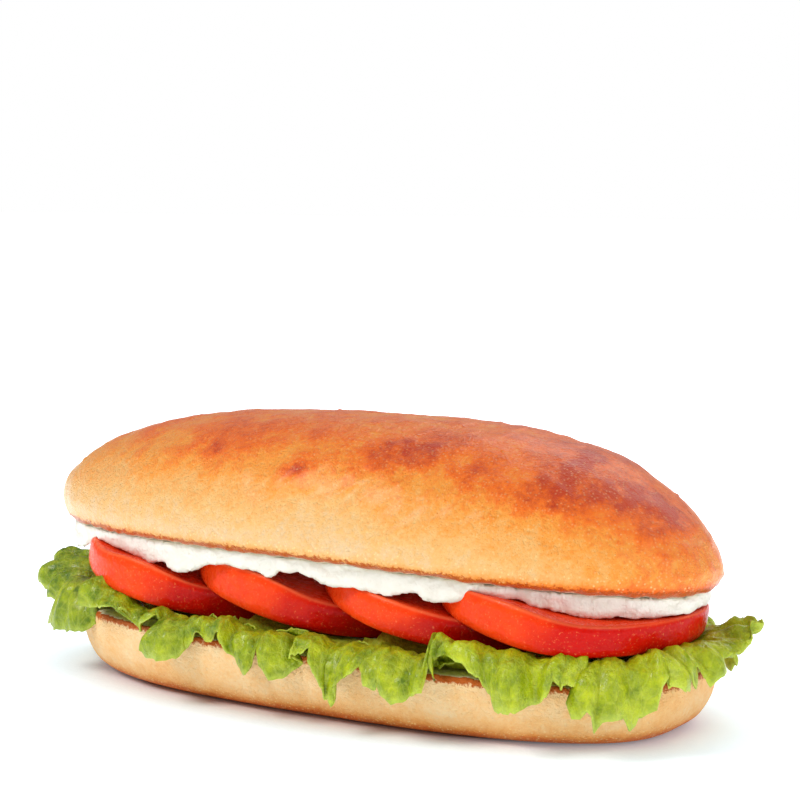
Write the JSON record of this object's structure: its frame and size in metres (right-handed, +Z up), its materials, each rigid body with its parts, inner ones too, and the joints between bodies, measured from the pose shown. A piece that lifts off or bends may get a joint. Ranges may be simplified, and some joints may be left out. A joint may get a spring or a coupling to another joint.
{
  "type": "vegetable sandwich",
  "caption": "Long split soft roll filled with curly green lettuce, overlapping tomato slices and a white cheese spread, resting on its flat foot.",
  "frame": {"origin": "on the table, under the middle of the roll, in the plane of the lower half's flat foot", "axes": "+Z up; +X along the roll, towards the end where the last tomato slice lies; -Y is the front that the picture shows"},
  "size_m": [0.207, 0.0977, 0.0744],
  "materials": {
    "upper_crust": "baked golden brown crust with a soft egg-washed gloss, paler towards the cut edge",
    "lower_crust": "pale baked crust, matt and slightly floury, browned at the cut edge and at the foot",
    "cheese": "soft white cheese, moist and lumpy",
    "tomato": "glossy red skin and wet cut flesh",
    "lettuce": "fresh curly leaf with pale veins and a soft waxy sheen"
  },
  "bodies": {
    "root": {"bottom_bun": "lower_crust", "top_bun": "upper_crust", "white_cheese": "cheese", "tomato_slice_1": "tomato", "tomato_slice_2": "tomato", "tomato_slice_3": "tomato", "tomato_slice_4": "tomato", "lettuce_leaf_1": "lettuce", "lettuce_leaf_2": "lettuce", "lettuce_leaf_3": "lettuce"}
  },
  "joints": []
}
